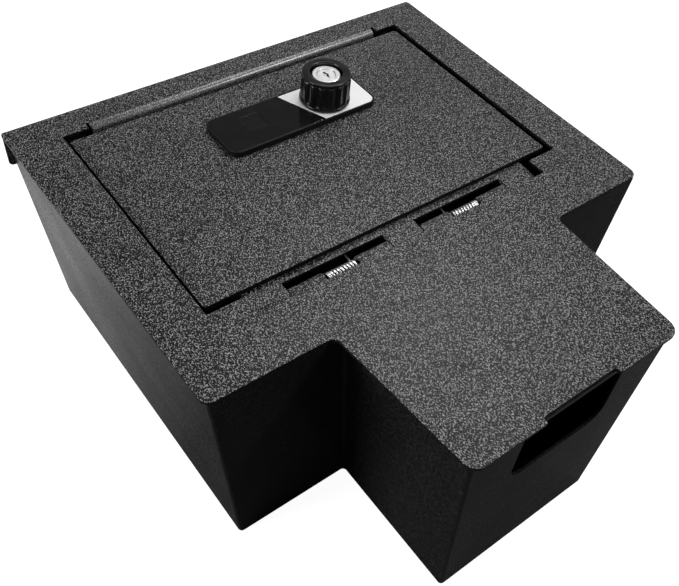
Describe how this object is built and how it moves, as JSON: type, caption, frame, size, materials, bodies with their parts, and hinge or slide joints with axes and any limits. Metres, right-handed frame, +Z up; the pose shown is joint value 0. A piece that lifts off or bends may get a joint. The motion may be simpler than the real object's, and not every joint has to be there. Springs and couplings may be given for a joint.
{
  "type": "console safe",
  "caption": "Steel console safe with a T-shaped face plate, tapered box body, spring-assisted lid, fingerprint panel and a knob with a key cylinder that drives a sliding bolt.",
  "frame": {"origin": "on the level of the floor's underside, under the middle of the box that holds the face plate", "axes": "+Z up; +Y from the narrow tongue towards the lock's side; +X to the right, along the hinge pin"},
  "size_m": [0.3, 0.318, 0.1645],
  "materials": {
    "textured_coat": "black powder coat with a fine leather-like texture",
    "satin_coat": "smooth satin black powder coat",
    "foam_mat": "closed-cell foam",
    "bumper_rubber": "matte",
    "zinc_steel": "zinc plated",
    "spring_steel": "bright drawn wire",
    "bolt_steel": "ground",
    "moulded_black": "satin moulded",
    "gloss_panel": "high gloss",
    "polished_trim": "smooth polished, near white",
    "solenoid_coil": "wound coil in a frame",
    "battery_jacket": "shrink jacket",
    "board_laminate": "solder mask",
    "barrel_chrome": "polished"
  },
  "bodies": {
    "safe_body": {"face_plate": "textured_coat", "rear_wall": "satin_coat", "left_wall": "satin_coat", "right_wall": "satin_coat", "left_front_wall": "satin_coat", "right_front_wall": "satin_coat", "tongue_left_wall": "satin_coat", "tongue_right_wall": "satin_coat", "tongue_front_wall": "satin_coat", "floor_pan": "satin_coat", "floor_mat": "foam_mat", "stop_bracket_left": "satin_coat", "stop_bracket_right": "satin_coat", "lid_bumper_left": "bumper_rubber", "lid_bumper_right": "bumper_rubber", "body_leaf": "textured_coat", "hinge_pin": "zinc_steel"},
    "lid": {"lid_plate": "textured_coat", "lid_leaf": "textured_coat", "hinge_spring_left": "spring_steel", "hinge_spring_right": "spring_steel", "module_base": "moulded_black", "sensor_panel": "gloss_panel", "sensor_window": "gloss_panel", "trim_plate": "polished_trim", "module_screw_left": "zinc_steel", "module_screw_right": "zinc_steel", "lock_case": "zinc_steel", "case_cover": "satin_coat", "cover_screw_1": "zinc_steel", "cover_screw_2": "zinc_steel", "cover_screw_3": "zinc_steel", "cover_screw_4": "zinc_steel", "bolt_guide": "zinc_steel", "solenoid_body": "solenoid_coil", "battery_tray": "moulded_black", "battery_1": "battery_jacket", "battery_2": "battery_jacket", "battery_3": "battery_jacket", "battery_4": "battery_jacket", "circuit_board": "board_laminate"},
    "knob": {"knob_grip": "moulded_black", "lock_barrel": "barrel_chrome", "knob_spindle": "zinc_steel", "drive_crank": "zinc_steel", "spindle_clip": "spring_steel"},
    "key_plug": {"key_plug": "barrel_chrome", "release_cam": "zinc_steel"},
    "bolt": {"latch_bolt": "bolt_steel"},
    "plunger": {"solenoid_plunger": "bolt_steel", "solenoid_spring": "spring_steel"}
  },
  "joints": [
    {"name": "lid_hinge", "type": "hinge", "parent": "safe_body", "child": "lid", "pos_m": [0, -0.025, 0.1335], "axis": [1, 0, 0], "range_deg": [0, 95], "stiffness_Nm_per_rad": 0.3, "springref_deg": 103.13, "deforming": ["hinge_spring_left", "hinge_spring_right"]},
    {"name": "knob_turn", "type": "hinge", "parent": "lid", "child": "knob", "pos_m": [0.0273, 0.0903, 0.15], "axis": [0, 0, 1], "range_deg": [0, 90]},
    {"name": "bolt_slide", "type": "slide", "parent": "lid", "child": "bolt", "axis": [0, 1, 0], "range_m": [0, 0.01]},
    {"name": "key_turn", "type": "hinge", "parent": "knob", "child": "key_plug", "pos_m": [0.0273, 0.0903, 0.15], "axis": [0, 0, 1], "range_deg": [0, 90]},
    {"name": "plunger_slide", "type": "slide", "parent": "lid", "child": "plunger", "axis": [1, 0, 0], "range_m": [0, 0.003], "deforming": ["solenoid_spring"]}
  ],
  "couplings": [
    {"joint": "knob_turn", "follows": "bolt_slide", "rad_per_m": 157.08}
  ]
}
